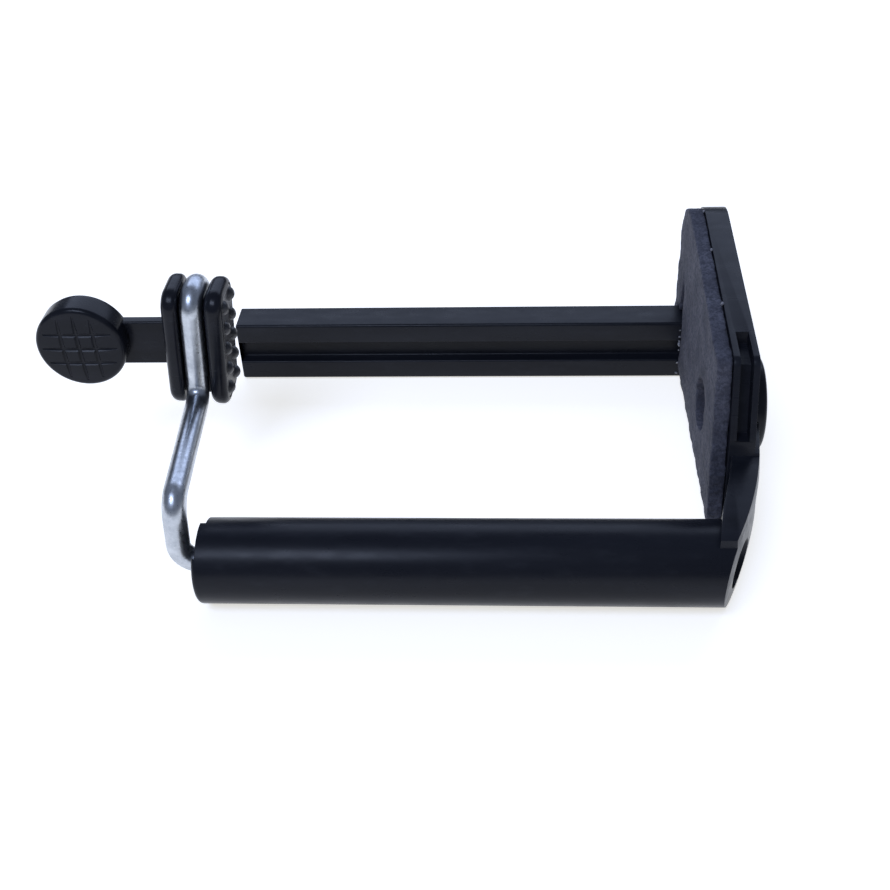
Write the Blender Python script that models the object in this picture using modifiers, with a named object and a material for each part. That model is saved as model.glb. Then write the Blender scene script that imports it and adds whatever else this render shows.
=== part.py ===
"""A spring clamp that holds a phone: a moulded frame with a padded fixed jaw, and a steel wire arm that
carries a small toothed jaw and slides out of the frame's tube against a spring.

X runs along the clamp, from the movable jaw to the fixed plate. Y runs across the frame, from the tube
to the bar. Z is up, with the frame lying on its back. Lengths are in metres.
"""

import math

import bmesh
import bpy
from mathutils import Matrix, Vector

# Fits
GAP = 0.0003  # clearance between pieces that touch
FILM_GAP = 0.0001  # clearance on each side of the adhesive film
OVERLAP = 0.0005  # how far joined shapes reach into each other
CUT = 0.002  # how far a cutter reaches past a surface

# Frame: the tube's axis is the reference line, and X = 0 is just before the tube's left end
TUBE_START = 0.0008
TUBE_RADIUS = 0.0054
TUBE_BORE = 0.0031
TUBE_MOUTH = 0.0021
TUBE_LIP = 0.0026  # X at which the narrow mouth opens into the bore
TUBE_EDGE = 0.0006
# The wire's clearance at the left end: (directions across the step, X of its floor)
MOUTH_STEPS = (
    (((-1.0, 1.0), (1.0, 1.0)), 0.0013),
    (((0.2, 1.0), (1.0, 1.0), (1.0, 0.35)), 0.0020),
)
REST_Z = -TUBE_RADIUS  # the surface that the frame lies on
BAR_Y = 0.050
BAR_WIDTH = 0.0054
BAR_HEIGHT = 0.0098
BAR_START = -0.0032
BAR_EDGE = 0.0005
GROOVE_WIDTH = 0.0034
GROOVE_DEPTH = 0.0018
FAR_Y = 0.0555  # the frame's far side

# Fixed jaw
FOAM_FACE = 0.0648
FOAM_THICKNESS = 0.0017
FILM_THICKNESS = 0.0003
FILM_INSET = 0.0003
FOAM_MARGIN = 0.0022  # from the surface that the frame lies on to the foam's lower edge
PLATE_FACE = FOAM_FACE + FOAM_THICKNESS + FILM_THICKNESS + 2 * FILM_GAP
PLATE_BACK = 0.0702
PLATE_TOP = 0.0230
HOLE_Y = 0.0249
HOLE_Z = 0.0060
HOLE_RADIUS = 0.0036  # clearance hole through the foam and the plate's inner skin
BLOCK_TOP = 0.0074  # the lower, thicker part of the plate ends here
SKIN = 0.0008
BOSS_RADIUS = 0.0064
BOSS_BACK = 0.0728
BOSS_EDGE = 0.0004
# The near edge's hollow: (Y, Z) corners, from the neck's top round the plate's upper corner
EDGE_POCKET = (
    (0.0100, 0.0090),
    (0.0160, 0.0090),
    (0.0190, 0.0174),
    (0.0215, 0.0178),
    (0.0215, 0.0220),
    (0.0100, 0.0220),
)
INSERT_FLATS = 0.0084
INSERT_LENGTH = 0.0048
THREAD_RADIUS = 0.0032  # quarter-inch tripod thread

# The frame's outer end is a shallow dome, swept in an arc from the tube to the bar
END_X = 0.0724
END_Y = 0.0320
END_SWEEP = 4.0  # how fast the arc falls away on each side of END_Y, per metre
CURL_Y = 0.0140  # from here to the tube the arc falls away faster
END_CURL = 6.0
DOME_RISE = 0.0005
DOME_Z = 0.0010
DOME_REACH = 0.0064
POCKET_Y = (0.0066, 0.0132)
POCKET_Z = (-0.0034, 0.0046)
POCKET_DEPTH = 0.0016
POCKET_EDGE = 0.0012

# Wire and spring
WIRE_RADIUS = 0.0015
ROD_END = 0.0610
WIRE_BEND = 0.0025
WIRE_TOP_BEND = 0.0022  # over the jaw's core
BUSH_END = 0.0065
WASHER_RADIUS = 0.0027
WASHER_HOLE = 0.0018
WASHER_THICKNESS = 0.0007
RETAINER_START = 0.0583
RETAINER_THICKNESS = 0.0010
SEAT_WASHER = BUSH_END + GAP
THRUST_WASHER = RETAINER_START - GAP - WASHER_THICKNESS
SPRING_WIRE = 0.0007
SPRING_RADIUS = 0.0024
SPRING_TURNS = 17
SPRING_FLAT_TURN = 1.15  # advance of each closed end turn, in wire thicknesses
SPRING_POINTS = 12  # points in each turn

# Movable jaw, in its own frame: X across the wire's plane, Y across the jaw, Z up from its bottom
JAW_Y = 0.0246
JAW_BOTTOM = Vector((-0.0026, JAW_Y, 0.0082))
JAW_LEAN = math.radians(4.7)
JAW_HEIGHT = 0.0174
JAW_HALF_WIDTH = 0.0040
JAW_CORNER = 0.0024
GROOVE_HALF = 0.0017
LEFT_FLANGE = 0.0021
RIGHT_FLANGE = 0.0024
FLANGE_EDGE = 0.0009
CORE_HALF_WIDTH = 0.0009
CORE_TOP = 0.0146
CORE_BOTTOM = 0.0008
WIRE_IN_JAW = CORE_HALF_WIDTH + GAP + WIRE_RADIUS
WIRE_ENTRY = 0.0016  # height at which the wire turns up the jaw's near side
WIRE_TAIL = 0.0040  # height of the wire's cut end on the jaw's far side
PAD_BASE = 0.0005
PAD_INSET = 0.0011
TOOTH_RADIUS = 0.0010
TOOTH_SUNK = 0.0003  # how far each tooth's centre is below the pad's face
TOOTH_PITCH = 0.0031
TOOTH_ROWS = 5
TOOTH_MIDDLE = 0.0088
TOOTH_COLUMNS = (-0.0018, 0.0018)

# Pull tab, in its own frame: X along the arm from the jaw's outer side, Z up from the arm's middle
TAB_ROOT = Vector((-0.0061, JAW_Y, 0.0159))
ARM_HEIGHT = 0.0066
ARM_THICKNESS = 0.0017
DISC_RADIUS = 0.0060
DISC_THICKNESS = 0.0046
DISC_CENTRE = Vector((-0.0114, 0, 0.0009))
DISC_EDGE = 0.0006
DISC_GROOVE = 0.0004
DISC_GROOVE_PITCH = 0.0022
GROOVE_REACH = DISC_RADIUS * 0.86

# How finely the round shapes are divided
ROUND_STEPS = 32
CORNER_STEPS = 6
END_ROWS = 6
END_COLUMNS = 20

PARTS = "phone_clamp"
CUTTERS = "cutters"

BLACK_PLASTIC = (0.018, 0.019, 0.024)
DARK_RUBBER = (0.012, 0.012, 0.015)
GREY_FOAM = (0.065, 0.066, 0.085)
BRIGHT_STEEL = (0.60, 0.62, 0.66)
SPRING_STEEL = (0.42, 0.43, 0.45)
BRASS = (0.60, 0.43, 0.17)
NYLON = (0.55, 0.54, 0.50)
CLEAR_FILM = (0.62, 0.62, 0.60)


def clear_scene():
    for obj in list(bpy.data.objects):
        bpy.data.objects.remove(obj, do_unlink=True)
    for name in (PARTS, CUTTERS):
        bpy.context.scene.collection.children.link(bpy.data.collections.new(name))


def material(name, colour, roughness, metallic=0.0):
    made = bpy.data.materials.new(name)
    made.use_nodes = True
    shader = made.node_tree.nodes["Principled BSDF"]
    shader.inputs["Base Color"].default_value = (*colour, 1.0)
    shader.inputs["Roughness"].default_value = roughness
    shader.inputs["Metallic"].default_value = metallic
    return made


def add_object(name, mesh, collection=PARTS):
    obj = bpy.data.objects.new(name, mesh)
    bpy.data.collections[collection].objects.link(obj)
    if collection == CUTTERS:
        obj.hide_render = True
        obj.display_type = "WIRE"
    return obj


def add_empty(name, parent=None, place=Matrix()):
    """A frame of reference that parts hang from."""
    empty = add_object(name, None)
    empty.empty_display_size = 0.01
    empty.parent = parent
    empty.matrix_local = place
    return empty


def finish(obj, look, smooth_angle=math.radians(35)):
    obj.data.materials.clear()
    obj.data.materials.append(look)
    obj.data.shade_smooth()
    obj.data.set_sharp_from_angle(angle=smooth_angle)
    return obj


def bevel(obj, width, segments=2, angle=math.radians(40)):
    modifier = obj.modifiers.new("edge", "BEVEL")
    modifier.width = width
    modifier.segments = segments
    modifier.limit_method = "ANGLE"
    modifier.angle_limit = angle
    return obj


def baked(obj):
    """The object with its modifiers applied to its mesh."""
    bpy.context.view_layer.update()
    evaluated = obj.evaluated_get(bpy.context.evaluated_depsgraph_get())
    mesh = bpy.data.meshes.new_from_object(evaluated)
    obj.modifiers.clear()
    old = obj.data
    obj.data = mesh
    bpy.data.meshes.remove(old)
    return obj


def boolean(obj, other, operation="DIFFERENCE"):
    """Cuts or joins another object, which is used up."""
    modifier = obj.modifiers.new(operation.lower(), "BOOLEAN")
    modifier.operation = operation
    modifier.solver = "EXACT"
    modifier.object = other
    baked(obj)
    bpy.data.objects.remove(other, do_unlink=True)
    return obj


def rounded(corners):
    """The points of an outline from (u, v, radius) corners, with an arc at each round one."""
    points = []
    for index, (u, v, radius) in enumerate(corners):
        here = Vector((u, v))
        if not radius:
            points.append(here)
            continue
        before = (Vector(corners[index - 1][:2]) - here).normalized()
        after = (Vector(corners[(index + 1) % len(corners)][:2]) - here).normalized()
        half = before.angle(after) / 2
        centre = here + (before + after).normalized() * radius / math.sin(half)
        start = here + before * radius / math.tan(half) - centre
        end = here + after * radius / math.tan(half) - centre
        for step in range(CORNER_STEPS + 1):
            blend = start.lerp(end, step / CORNER_STEPS)
            points.append(centre + blend.normalized() * radius)
    return points


def curve_mesh(curve, matrix):
    """A closed mesh of a curve, with its caps welded on."""
    obj = bpy.data.objects.new("curve", curve)
    bpy.context.scene.collection.objects.link(obj)
    bpy.context.view_layer.update()
    mesh = bpy.data.meshes.new_from_object(obj.evaluated_get(bpy.context.evaluated_depsgraph_get()))
    bpy.data.objects.remove(obj, do_unlink=True)
    shape = bmesh.new()
    shape.from_mesh(mesh)
    bmesh.ops.remove_doubles(shape, verts=shape.verts, dist=1e-6)
    bmesh.ops.transform(shape, matrix=matrix, verts=shape.verts)
    bmesh.ops.recalc_face_normals(shape, faces=shape.faces)
    shape.to_mesh(mesh)
    shape.free()
    return mesh


def slab(name, outline, low, high, across="X", collection=PARTS):
    """A flat outline made solid. Across X, the outline is (Y, Z) points; Y, (X, Z); Z, (X, Y)."""
    curve = bpy.data.curves.new(name, "CURVE")
    curve.dimensions = "2D"
    curve.fill_mode = "BOTH"
    curve.extrude = (high - low) / 2
    spline = curve.splines.new("POLY")
    spline.points.add(len(outline) - 1)
    for point, (u, v) in zip(spline.points, outline):
        point.co = (u, v, 0, 1)
    spline.use_cyclic_u = True
    middle = (low + high) / 2
    columns = {
        "X": ((0, 0, 1, middle), (1, 0, 0, 0), (0, 1, 0, 0), (0, 0, 0, 1)),
        "Y": ((1, 0, 0, 0), (0, 0, -1, middle), (0, 1, 0, 0), (0, 0, 0, 1)),
        "Z": ((1, 0, 0, 0), (0, 1, 0, 0), (0, 0, 1, middle), (0, 0, 0, 1)),
    }
    return add_object(name, curve_mesh(curve, Matrix(columns[across])), collection)


def cylinder(name, radius, low, high, centre=(0, 0), sides=ROUND_STEPS, collection=PARTS):
    """A cylinder along X, centred on (Y, Z)."""
    shape = bmesh.new()
    bmesh.ops.create_cone(
        shape, cap_ends=True, segments=sides, radius1=radius, radius2=radius, depth=high - low
    )
    place = Matrix.Translation(((low + high) / 2, *centre)) @ Matrix.Rotation(math.pi / 2, 4, "Y")
    bmesh.ops.transform(shape, matrix=place, verts=shape.verts)
    mesh = bpy.data.meshes.new(name)
    shape.to_mesh(mesh)
    shape.free()
    return add_object(name, mesh, collection)


def box(name, low, high, collection=PARTS):
    shape = bmesh.new()
    bmesh.ops.create_cube(shape, size=1)
    low, high = Vector(low), Vector(high)
    size = Matrix.Diagonal((*(high - low), 1))
    bmesh.ops.transform(shape, matrix=Matrix.Translation((low + high) / 2) @ size, verts=shape.verts)
    mesh = bpy.data.meshes.new(name)
    shape.to_mesh(mesh)
    shape.free()
    return add_object(name, mesh, collection)


def cutter_box(low, high):
    return box("cutter", low, high, CUTTERS)


def cutter_cylinder(radius, low, high, centre=(0, 0), sides=ROUND_STEPS):
    return cylinder("cutter", radius, low, high, centre, sides, CUTTERS)


def ring(name, radius, low, high, look, hole=WASHER_HOLE):
    """A washer or bush round the tube's axis."""
    made = boolean(cylinder(name, radius, low, high), cutter_cylinder(hole, low - CUT, high + CUT))
    return finish(made, look)


def spread(low, high, steps):
    return [low + (high - low) * step / steps for step in range(steps + 1)]


def end_surface(y, z):
    """X of the frame's outer end."""
    arc = END_X - END_SWEEP * (y - END_Y) ** 2 - END_CURL * max(0, CURL_Y - y) ** 2
    return arc + DOME_RISE * (1 - ((z - DOME_Z) / DOME_REACH) ** 2)


def end_cutter():
    """Everything past the lower frame's outer end."""
    past = BOSS_BACK + CUT
    rows = spread(REST_Z - CUT, BLOCK_TOP + OVERLAP, END_ROWS)
    columns = spread(-TUBE_RADIUS - CUT, FAR_Y + CUT, END_COLUMNS)
    shape = bmesh.new()
    near = [[shape.verts.new((end_surface(y, z), y, z)) for y in columns] for z in rows]
    far = [[shape.verts.new((past, y, z)) for y in columns] for z in rows]
    for grid in (near, far):
        for low, high in zip(grid, grid[1:]):
            for index in range(END_COLUMNS):
                shape.faces.new((low[index], low[index + 1], high[index + 1], high[index]))
    rims = [
        (near[0], far[0]),
        (near[-1], far[-1]),
        ([row[0] for row in near], [row[0] for row in far]),
        ([row[-1] for row in near], [row[-1] for row in far]),
    ]
    for inner, outer in rims:
        for index in range(len(inner) - 1):
            shape.faces.new((inner[index], inner[index + 1], outer[index + 1], outer[index]))
    bmesh.ops.recalc_face_normals(shape, faces=shape.faces)
    mesh = bpy.data.meshes.new("cutter")
    shape.to_mesh(mesh)
    shape.free()
    return add_object("cutter", mesh, CUTTERS)


def mouth_notch(spread, depth):
    """A step cut into the tube's left end, across the sector between two (y, z) directions."""
    reach = TUBE_RADIUS + CUT
    outline = [(0, 0)] + [(y * reach, z * reach) for y, z in spread]
    return slab("cutter", outline, -CUT, depth, "X", CUTTERS)


def spring_tube(look):
    tube = cylinder("spring_tube", TUBE_RADIUS, TUBE_START, BOSS_BACK)
    bevel(tube, TUBE_EDGE, 3)
    baked(tube)
    boolean(tube, end_cutter())
    boolean(tube, cutter_cylinder(TUBE_BORE, TUBE_LIP, BOSS_BACK + CUT))
    boolean(tube, cutter_cylinder(TUBE_MOUTH, -CUT, TUBE_LIP + OVERLAP))
    for spread, depth in MOUTH_STEPS:
        boolean(tube, mouth_notch(spread, depth))
    return finish(tube, look)


def side_bar(look):
    low, high = REST_Z, REST_Z + BAR_HEIGHT
    near, far = BAR_Y - BAR_WIDTH / 2, BAR_Y + BAR_WIDTH / 2
    middle = (low + high) / 2
    groove_low, groove_high = middle - GROOVE_WIDTH / 2, middle + GROOVE_WIDTH / 2
    floor = near + GROOVE_DEPTH
    corners = [
        (near, low, BAR_EDGE),
        (far, low, BAR_EDGE),
        (far, high, BAR_EDGE),
        (near, high, BAR_EDGE),
        (near, groove_high, 0),
        (floor, groove_high, 0),
        (floor, groove_low, 0),
        (near, groove_low, 0),
    ]
    bar = slab("side_bar", rounded(corners), BAR_START, PLATE_FACE - GAP)
    return finish(bar, look)


def plate_outline():
    """The fixed plate, seen along the clamp: (Y, Z, radius) corners."""
    return [
        (0.0100, REST_Z, 0.0005),
        (FAR_Y, REST_Z, 0.0030),
        (FAR_Y, PLATE_TOP, 0.0070),
        (0.0160, 0.0190, 0.0015),
        (0.0124, 0.0090, 0.0080),
    ]


def neck():
    """The wall that bends round from the plate to the tube, with a shelf for its top."""
    low = REST_Z + 0.0002
    side = [(-0.0025, 0.0), (0.0060, low), (0.0128, low), (0.0128, 0.0071), (-0.0025, 0.0060)]
    made = slab("neck", side, 0.0620, BOSS_BACK)
    inner = [(0.0640, -0.0040), (0.0652, 0.0030), (0.0672, 0.0105), (PLATE_FACE + OVERLAP, 0.0140)]
    outer = [(0.0760, 0.0140), (0.0760, -0.0040)]
    return boolean(made, slab("plan", inner + outer, REST_Z - CUT, BLOCK_TOP + CUT, "Z"), "INTERSECT")


def fixed_jaw_plate(look):
    plate = slab("fixed_jaw_plate", rounded(plate_outline()), PLATE_FACE, BOSS_BACK)
    boolean(plate, neck(), "UNION")
    boolean(plate, end_cutter())
    behind = (BOSS_BACK + CUT, FAR_Y + CUT, PLATE_TOP + CUT)
    boolean(plate, cutter_box((PLATE_BACK, -CUT, BLOCK_TOP), behind))
    boss = cylinder("boss", BOSS_RADIUS, PLATE_FACE + OVERLAP, BOSS_BACK, (HOLE_Y, HOLE_Z), 40)
    bevel(boss, BOSS_EDGE, 2, math.radians(60))
    baked(boss)
    boolean(plate, boss, "UNION")
    # The neck lies against the tube
    boolean(plate, cutter_cylinder(TUBE_RADIUS + GAP, 0, BOSS_BACK + CUT))
    # The near edge is hollow between the plate's two skins, round its upper corner
    boolean(plate, slab("cutter", EDGE_POCKET, PLATE_FACE + SKIN, PLATE_BACK - SKIN, "X", CUTTERS))
    # A shallow pocket in the outer end, between the tube and the boss
    near, far = POCKET_Y
    low, high = POCKET_Z
    core = [(near, low), (far, low), (far, high), (near, high)]
    core = rounded([(y, z, POCKET_EDGE) for y, z in core])
    floor = end_surface(core[0].x, DOME_Z) - POCKET_DEPTH
    boolean(plate, slab("cutter", core, floor, BOSS_BACK + CUT, "X", CUTTERS))
    # Clearance hole through the face, and the insert's hexagonal socket from the back
    hole = (HOLE_Y, HOLE_Z)
    boolean(plate, cutter_cylinder(HOLE_RADIUS, PLATE_FACE - CUT, BOSS_BACK + CUT, hole))
    socket_radius = (INSERT_FLATS / 2 + GAP) / math.cos(math.pi / 6)
    socket_start = BOSS_BACK - INSERT_LENGTH - GAP
    boolean(plate, cutter_cylinder(socket_radius, socket_start, BOSS_BACK + CUT, hole, 6))
    return finish(plate, look)


def tripod_insert(look):
    hole = (HOLE_Y, HOLE_Z)
    radius = INSERT_FLATS / 2 / math.cos(math.pi / 6)
    insert = cylinder("tripod_insert", radius, BOSS_BACK - INSERT_LENGTH, BOSS_BACK, hole, 6)
    boolean(insert, cutter_cylinder(THREAD_RADIUS, 0, BOSS_BACK + CUT, hole, 24))
    return finish(insert, look)


def pad_outline(shrink=0.0):
    """The foam on the plate: its edge, with a pointed slit where it fits round the bar."""
    near, far = BAR_Y - BAR_WIDTH / 2 - GAP, BAR_Y + BAR_WIDTH / 2 + GAP
    bar_top = REST_Z + BAR_HEIGHT + GAP
    low = REST_Z + FOAM_MARGIN + shrink
    return [
        (0.0105 + shrink, low, 0.0006),
        (near, low, 0),
        (near, bar_top, 0),
        (BAR_Y - 0.0012, 0.0135, 0),
        (BAR_Y + 0.0004, bar_top, 0),
        (far, bar_top, 0),
        (far, low, 0),
        (FAR_Y - shrink, low, 0.0010),
        (FAR_Y - shrink, 0.0228 - shrink, 0.0068),
        (0.0162 + shrink, 0.0186 - shrink, 0.0015),
    ]


def padded_sheet(name, shrink, low, high, look):
    sheet = slab(name, rounded(pad_outline(shrink)), low, high)
    boolean(sheet, cutter_cylinder(HOLE_RADIUS, low - CUT, high + CUT, (HOLE_Y, HOLE_Z)))
    return finish(sheet, look)


def spring(look):
    """A coil of round wire, with its axis on the tube's, that starts and ends in a flat turn."""
    first = SEAT_WASHER + WASHER_THICKNESS + GAP + SPRING_WIRE / 2
    last = THRUST_WASHER - GAP - SPRING_WIRE / 2
    flat = SPRING_WIRE * SPRING_FLAT_TURN
    count = SPRING_TURNS * SPRING_POINTS
    turned = [index / SPRING_POINTS for index in range(count + 1)]
    open_turns = SPRING_TURNS - 2
    pitch = (last - first - 2 * flat) / open_turns
    curve = bpy.data.curves.new("compression_spring", "CURVE")
    curve.dimensions = "3D"
    curve.bevel_depth = SPRING_WIRE / 2
    curve.bevel_resolution = 2
    curve.use_fill_caps = True
    path = curve.splines.new("POLY")
    path.points.add(count)
    for point, turn in zip(path.points, turned):
        along = flat * min(turn, 1) + pitch * min(max(turn - 1, 0), open_turns)
        along += flat * max(turn - 1 - open_turns, 0)
        angle = turn * math.tau
        y, z = SPRING_RADIUS * math.cos(angle), SPRING_RADIUS * math.sin(angle)
        point.co = (first + along, y, z, 1)
    return finish(add_object("compression_spring", curve_mesh(curve, Matrix())), look)


def jaw_matrix():
    return Matrix.Translation(JAW_BOTTOM) @ Matrix.Rotation(JAW_LEAN, 4, "Y")


def wire_route():
    """(point, bend radius) corners of the wire's centre line, from the rod's inner end to its cut end."""
    jaw = jaw_matrix()
    top = CORE_TOP + GAP + WIRE_RADIUS
    return [
        (Vector((ROD_END, 0, 0)), 0),
        (Vector((-0.0019, 0, 0)), WIRE_BEND),
        (Vector((-0.00115, 0, 0.0095)), WIRE_BEND),
        (jaw @ Vector((0, -WIRE_IN_JAW, WIRE_ENTRY)), WIRE_BEND),
        (jaw @ Vector((0, -WIRE_IN_JAW, top)), WIRE_TOP_BEND),
        (jaw @ Vector((0, WIRE_IN_JAW, top)), WIRE_TOP_BEND),
        (jaw @ Vector((0, WIRE_IN_JAW, WIRE_TAIL)), 0),
    ]


def bent_line(corners, steps):
    """Points along a line whose corners are arcs."""
    points = []
    for index, (here, radius) in enumerate(corners):
        if not radius:
            points.append(here)
            continue
        before = (corners[index - 1][0] - here).normalized()
        after = (corners[index + 1][0] - here).normalized()
        half = before.angle(after) / 2
        centre = here + (before + after).normalized() * radius / math.sin(half)
        start = here + before * radius / math.tan(half) - centre
        end = here + after * radius / math.tan(half) - centre
        for step in range(steps + 1):
            points.append(centre + start.slerp(end, step / steps).normalized() * radius)
    return points


def wire_arm(look):
    curve = bpy.data.curves.new("wire_arm", "CURVE")
    curve.dimensions = "3D"
    curve.bevel_depth = WIRE_RADIUS
    curve.bevel_resolution = 4
    curve.use_fill_caps = True
    points = bent_line(wire_route(), 7)
    path = curve.splines.new("POLY")
    path.points.add(len(points) - 1)
    for point, place in zip(path.points, points):
        point.co = (*place, 1)
    return finish(add_object("wire_arm", curve_mesh(curve, Matrix())), look)


def jaw_outline():
    low, high, half = 0, JAW_HEIGHT, JAW_HALF_WIDTH
    return rounded([
        (-half, low, JAW_CORNER),
        (half, low, JAW_CORNER),
        (half, high, JAW_CORNER),
        (-half, high, JAW_CORNER),
    ])


def flange(name, low, high):
    return baked(bevel(slab(name, jaw_outline(), low, high), FLANGE_EDGE, 2, math.radians(60)))


def tooth_pad_outline(margin=0.0):
    half = JAW_HALF_WIDTH - PAD_INSET + margin
    reach = TOOTH_ROWS / 2 * TOOTH_PITCH + margin
    low, high = TOOTH_MIDDLE - reach, TOOTH_MIDDLE + reach
    edge = half / 2
    return rounded([(-half, low, edge), (half, low, edge), (half, high, edge), (-half, high, edge)])


def jaw_body(look):
    """Two rounded flanges on a core, with the wire's groove between them."""
    body = flange("jaw_body", -GROOVE_HALF - LEFT_FLANGE, -GROOVE_HALF)
    core_low = (-GROOVE_HALF - OVERLAP, -CORE_HALF_WIDTH, CORE_BOTTOM)
    core_high = (GROOVE_HALF + OVERLAP, CORE_HALF_WIDTH, CORE_TOP)
    boolean(body, box("core", core_low, core_high), "UNION")
    boolean(body, flange("flange", GROOVE_HALF, GROOVE_HALF + RIGHT_FLANGE), "UNION")
    # The pad lies in a recess of the gripping flange
    face = GROOVE_HALF + RIGHT_FLANGE
    boolean(body, slab("recess", tooth_pad_outline(GAP), face - PAD_BASE - GAP, face + CUT, "X", CUTTERS))
    return finish(body, look)


def tooth(centre):
    """A round tooth that points along X."""
    shape = bmesh.new()
    bmesh.ops.create_uvsphere(shape, u_segments=12, v_segments=8, radius=TOOTH_RADIUS)
    place = Matrix.Translation(centre) @ Matrix.Rotation(math.pi / 2, 4, "Y")
    bmesh.ops.transform(shape, matrix=place, verts=shape.verts)
    mesh = bpy.data.meshes.new("tooth")
    shape.to_mesh(mesh)
    shape.free()
    return add_object("tooth", mesh)


def tooth_pad(look):
    """A thin pad with rows of round teeth."""
    face = GROOVE_HALF + RIGHT_FLANGE - PAD_BASE
    pad = slab("tooth_pad", tooth_pad_outline(), face, face + PAD_BASE)
    bottom = TOOTH_MIDDLE - (TOOTH_ROWS - 1) / 2 * TOOTH_PITCH
    for row in range(TOOTH_ROWS):
        for y in TOOTH_COLUMNS:
            one = tooth(Vector((face + PAD_BASE - TOOTH_SUNK, y, bottom + row * TOOTH_PITCH)))
            below = (face + PAD_BASE / 2 - CUT, y - CUT, 0)
            boolean(one, cutter_box(below, (face + PAD_BASE / 2, y + CUT, JAW_HEIGHT)))
            boolean(pad, one, "UNION")
    return finish(pad, look)


def thumb_disc():
    shape = bmesh.new()
    bmesh.ops.create_cone(
        shape, cap_ends=True, segments=40, radius1=DISC_RADIUS, radius2=DISC_RADIUS, depth=DISC_THICKNESS
    )
    place = Matrix.Translation(DISC_CENTRE) @ Matrix.Rotation(math.pi / 2, 4, "X")
    bmesh.ops.transform(shape, matrix=place, verts=shape.verts)
    mesh = bpy.data.meshes.new("disc")
    shape.to_mesh(mesh)
    shape.free()
    return baked(bevel(add_object("disc", mesh), DISC_EDGE, 2, math.radians(60)))


def pull_tab(look):
    """A flat arm with a round thumb disc, whose near face is crosshatched."""
    half = ARM_HEIGHT / 2
    lean = half * math.tan(JAW_LEAN)  # the arm's root follows the jaw's side
    back, front = DISC_THICKNESS / 2, -DISC_THICKNESS / 2
    outline = [(DISC_CENTRE.x, -half), (-lean, -half), (lean, half), (DISC_CENTRE.x, half)]
    tab = slab("pull_tab", outline, back - ARM_THICKNESS, back, "Y")
    boolean(tab, thumb_disc(), "UNION")
    floor = front + DISC_GROOVE
    wide = DISC_GROOVE / 2
    for index in (-1, 0, 1):
        x = DISC_CENTRE.x + index * DISC_GROOVE_PITCH
        z = DISC_CENTRE.z + index * DISC_GROOVE_PITCH
        left, right = DISC_CENTRE.x - GROOVE_REACH, DISC_CENTRE.x + GROOVE_REACH
        bottom, top = DISC_CENTRE.z - GROOVE_REACH, DISC_CENTRE.z + GROOVE_REACH
        boolean(tab, cutter_box((left, front - CUT, z - wide), (right, floor, z + wide)))
        boolean(tab, cutter_box((x - wide, front - CUT, bottom), (x + wide, floor, top)))
    return finish(tab, look)


def frame_parts():
    plastic = material("frame plastic", BLACK_PLASTIC, 0.36)
    foam_back = FOAM_FACE + FOAM_THICKNESS
    film = foam_back + FILM_GAP
    film_back = film + FILM_THICKNESS
    steel = material("seat washer steel", SPRING_STEEL, 0.3, 1.0)
    return [
        spring_tube(plastic),
        fixed_jaw_plate(plastic),
        side_bar(plastic),
        padded_sheet("foam_pad", 0, FOAM_FACE, foam_back, material("foam", GREY_FOAM, 0.95)),
        padded_sheet("foam_adhesive", FILM_INSET, film, film_back, material("film", CLEAR_FILM, 0.3)),
        tripod_insert(material("brass", BRASS, 0.3, 1.0)),
        ring("guide_bush", TUBE_BORE - GAP, TUBE_LIP + GAP, BUSH_END, material("nylon", NYLON, 0.5)),
        ring("spring_seat_washer", WASHER_RADIUS, SEAT_WASHER, SEAT_WASHER + WASHER_THICKNESS, steel),
        spring(material("spring steel", SPRING_STEEL, 0.28, 1.0)),
    ]


def carriage_parts():
    steel = material("thrust washer steel", SPRING_STEEL, 0.3, 1.0)
    return [ring("thrust_washer", WASHER_RADIUS, THRUST_WASHER, THRUST_WASHER + WASHER_THICKNESS, steel)]


def arm_parts():
    clip = material("clip steel", SPRING_STEEL, 0.35, 1.0)
    clip_end = RETAINER_START + RETAINER_THICKNESS
    return [
        ring("rod_retainer", WASHER_RADIUS, RETAINER_START, clip_end, clip, WIRE_RADIUS + FILM_GAP),
        wire_arm(material("bright wire", BRIGHT_STEEL, 0.22, 1.0)),
    ]


def jaw_parts():
    plastic = material("jaw plastic", BLACK_PLASTIC, 0.36)
    return [jaw_body(plastic), tooth_pad(material("pad rubber", DARK_RUBBER, 0.5))]


def hang(parts, parent):
    for part in parts:
        part.parent = parent


def whole_box():
    bpy.context.view_layer.update()
    parts = [obj for obj in bpy.data.collections[PARTS].objects if obj.type == "MESH"]
    points = [part.matrix_world @ vertex.co for part in parts for vertex in part.data.vertices]
    low = Vector([min(point[axis] for point in points) for axis in range(3)])
    high = Vector([max(point[axis] for point in points) for axis in range(3)])
    return low, high


def main():
    clear_scene()
    clamp = add_empty("clamp_frame")
    slide_axis = add_empty("slide_axis", clamp)
    swing_axis = add_empty("swing_axis", slide_axis)
    jaw_seat = add_empty("jaw_seat", swing_axis, jaw_matrix())
    tab_seat = add_empty("tab_seat", swing_axis, Matrix.Translation(TAB_ROOT))
    hang(frame_parts(), clamp)
    hang(carriage_parts(), slide_axis)
    hang(arm_parts(), swing_axis)
    hang(jaw_parts(), jaw_seat)
    hang([pull_tab(material("tab plastic", BLACK_PLASTIC, 0.36))], tab_seat)
    # The origin is under the middle of the whole object, on the surface that it lies on
    low, high = whole_box()
    clamp.location = (-(low.x + high.x) / 2, -(low.y + high.y) / 2, -low.z)


main()
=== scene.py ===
import math
import random

import bmesh
import bpy
from mathutils import Matrix, Vector, noise


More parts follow.
